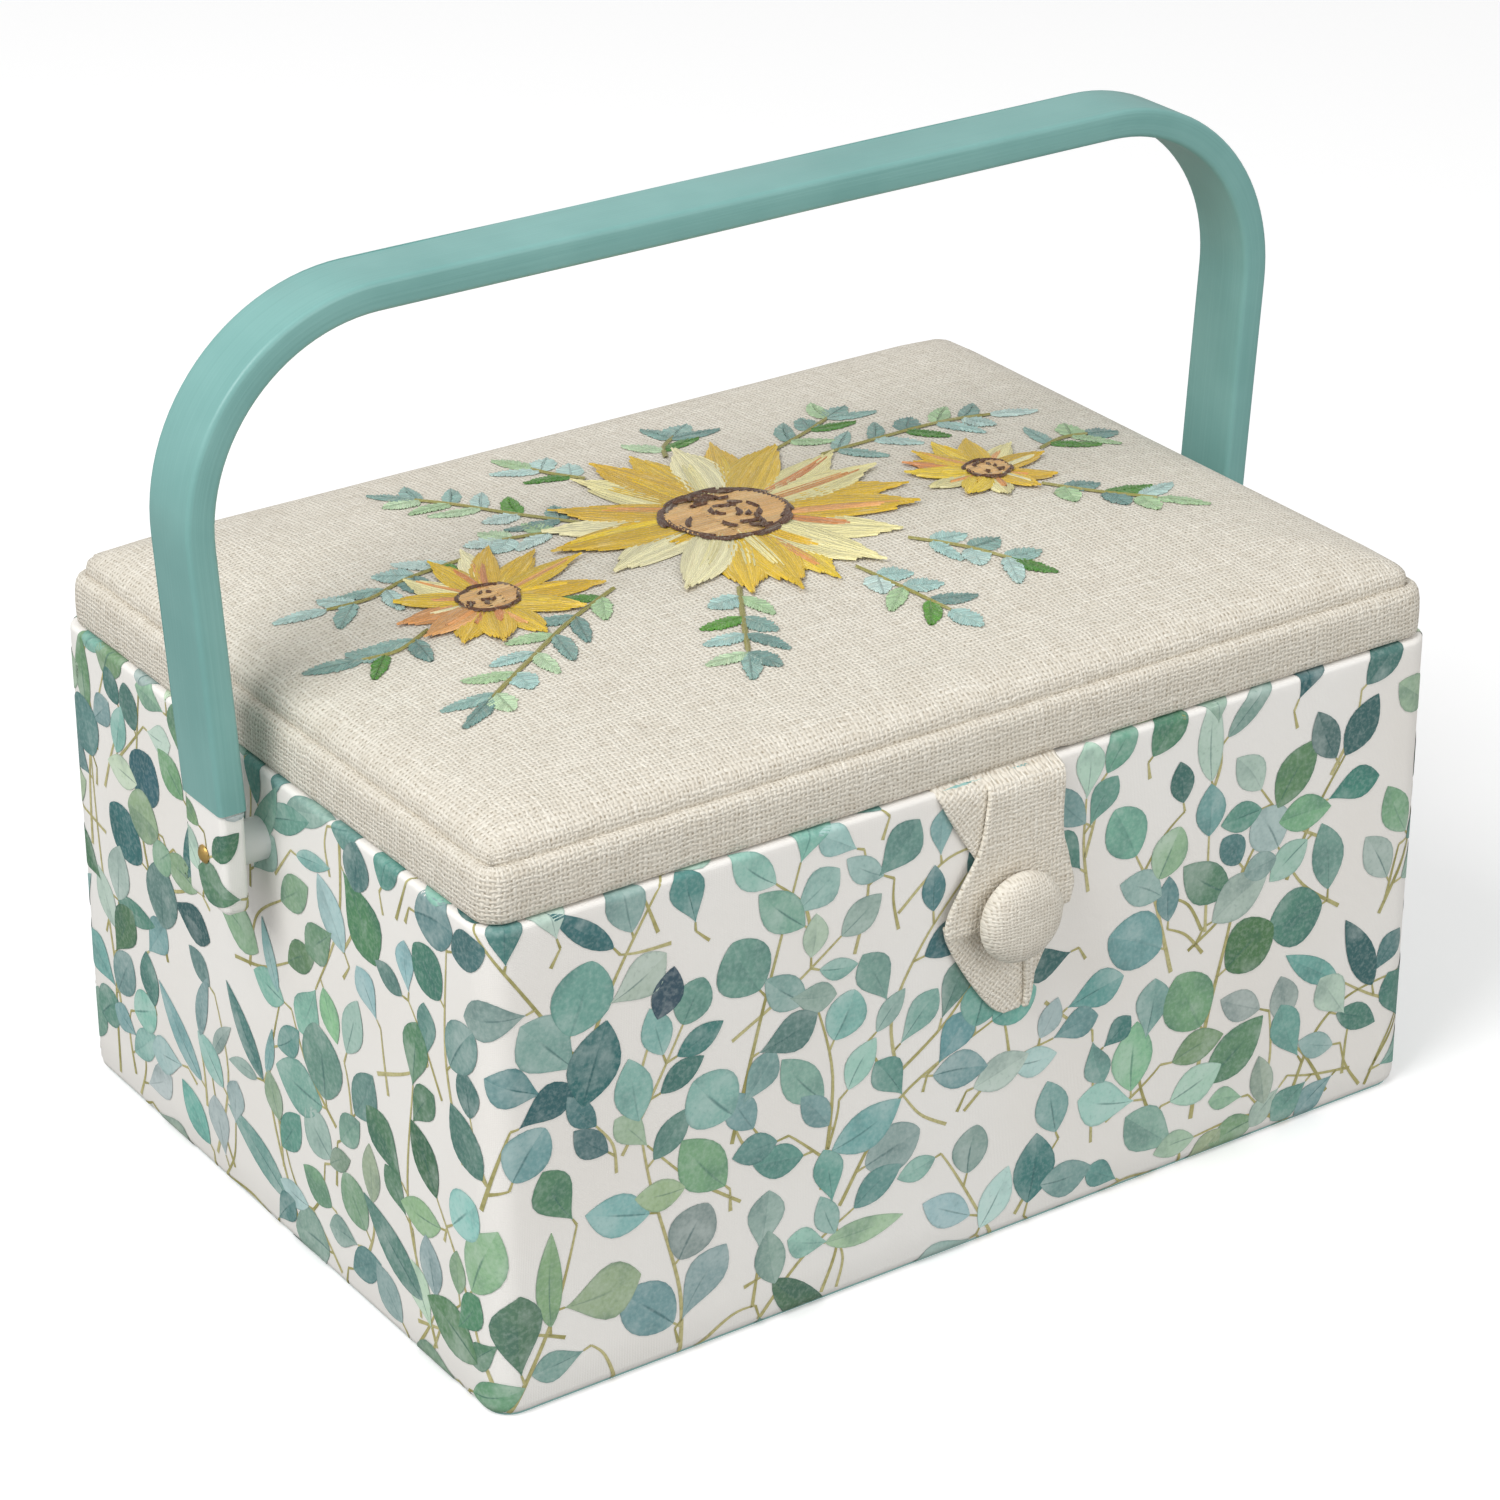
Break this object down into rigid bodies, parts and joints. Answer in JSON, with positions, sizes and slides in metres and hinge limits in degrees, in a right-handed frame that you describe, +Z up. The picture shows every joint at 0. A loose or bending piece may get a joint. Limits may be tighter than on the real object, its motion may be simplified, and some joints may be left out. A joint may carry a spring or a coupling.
{
  "type": "sewing box",
  "caption": "Fabric-covered rectangular sewing box with a hinged padded embroidered lid, a bow handle that swings, a loop and button closure, and lift-out compartment trays.",
  "frame": {"origin": "middle of the underside, on the surface that the box stands on", "axes": "+Z up, X along the long side, -Y towards the front with the button and loop"},
  "size_m": [0.2966, 0.2065, 0.2295],
  "materials": {
    "print_cotton": "white cotton printed with watercolour leaves in teal and green",
    "lining_cotton": "plain teal cotton lining",
    "linen": "natural open-weave linen with embroidery on the lid",
    "board": "plain grey-brown fibre board",
    "foam": "soft foam sheet",
    "painted_wood": "bent wood, satin teal paint with faint brush marks",
    "brass": "polished brass",
    "tray_plastic": "milky white moulded plastic"
  },
  "bodies": {
    "case": {"base_board": "board", "base_cloth": "lining_cotton", "front_board": "board", "back_board": "board", "left_board": "board", "right_board": "board", "case_cover": "print_cotton", "wall_lining": "lining_cotton", "floor_lining": "lining_cotton", "front_tray_ledge": "board", "back_tray_ledge": "board", "left_spacer_bush": "tray_plastic", "right_spacer_bush": "tray_plastic", "left_pivot_pin": "brass", "right_pivot_pin": "brass", "case_hinge_leaves": "brass", "hinge_pins": "brass", "case_hinge_screws": "brass", "button": "linen", "button_shank": "linen"},
    "lid": {"lid_board": "board", "lid_front_rail": "board", "lid_back_rail": "board", "lid_left_rail": "board", "lid_right_rail": "board", "lid_band": "linen", "lid_pad": "foam", "lid_cover": "linen", "lid_lining": "lining_cotton", "pin_cushion": "lining_cotton", "lid_pocket": "lining_cotton", "lid_hinge_leaves": "brass", "lid_hinge_screws": "brass"},
    "handle": {"handle_bow": "painted_wood", "left_foot_cover": "print_cotton", "right_foot_cover": "print_cotton"},
    "closure": {"closure_loop": "linen"},
    "tray_left": {"left_tray": "tray_plastic"},
    "tray_right": {"right_tray": "tray_plastic"}
  },
  "joints": [
    {"name": "lid_hinge", "type": "hinge", "parent": "case", "child": "lid", "pos_m": [0, 0.0978, 0.1264], "axis": [-1, 0, 0], "range_deg": [0, 91]},
    {"name": "handle_swing", "type": "hinge", "parent": "case", "child": "handle", "pos_m": [0, 0, 0.1025], "axis": [-1, 0, 0], "range_deg": [0, 115]},
    {"name": "loop_swing", "type": "hinge", "parent": "lid", "child": "closure", "pos_m": [0.004, -0.0945, 0.1209], "axis": [-1, 0, 0], "range_deg": [0, 75], "deforming": ["closure_loop"]},
    {"name": "left_tray_lift", "type": "slide", "parent": "case", "child": "tray_left", "axis": [0, 0, 1], "range_m": [0, 0.0295]},
    {"name": "right_tray_lift", "type": "slide", "parent": "case", "child": "tray_right", "axis": [0, 0, 1], "range_m": [0, 0.0295]}
  ],
  "couplings": [
    {"joint": "handle_swing", "follows": "lid_hinge", "ratio": 1.25},
    {"joint": "left_tray_lift", "follows": "lid_hinge", "m_per_rad": 0.018},
    {"joint": "right_tray_lift", "follows": "lid_hinge", "m_per_rad": 0.018}
  ]
}
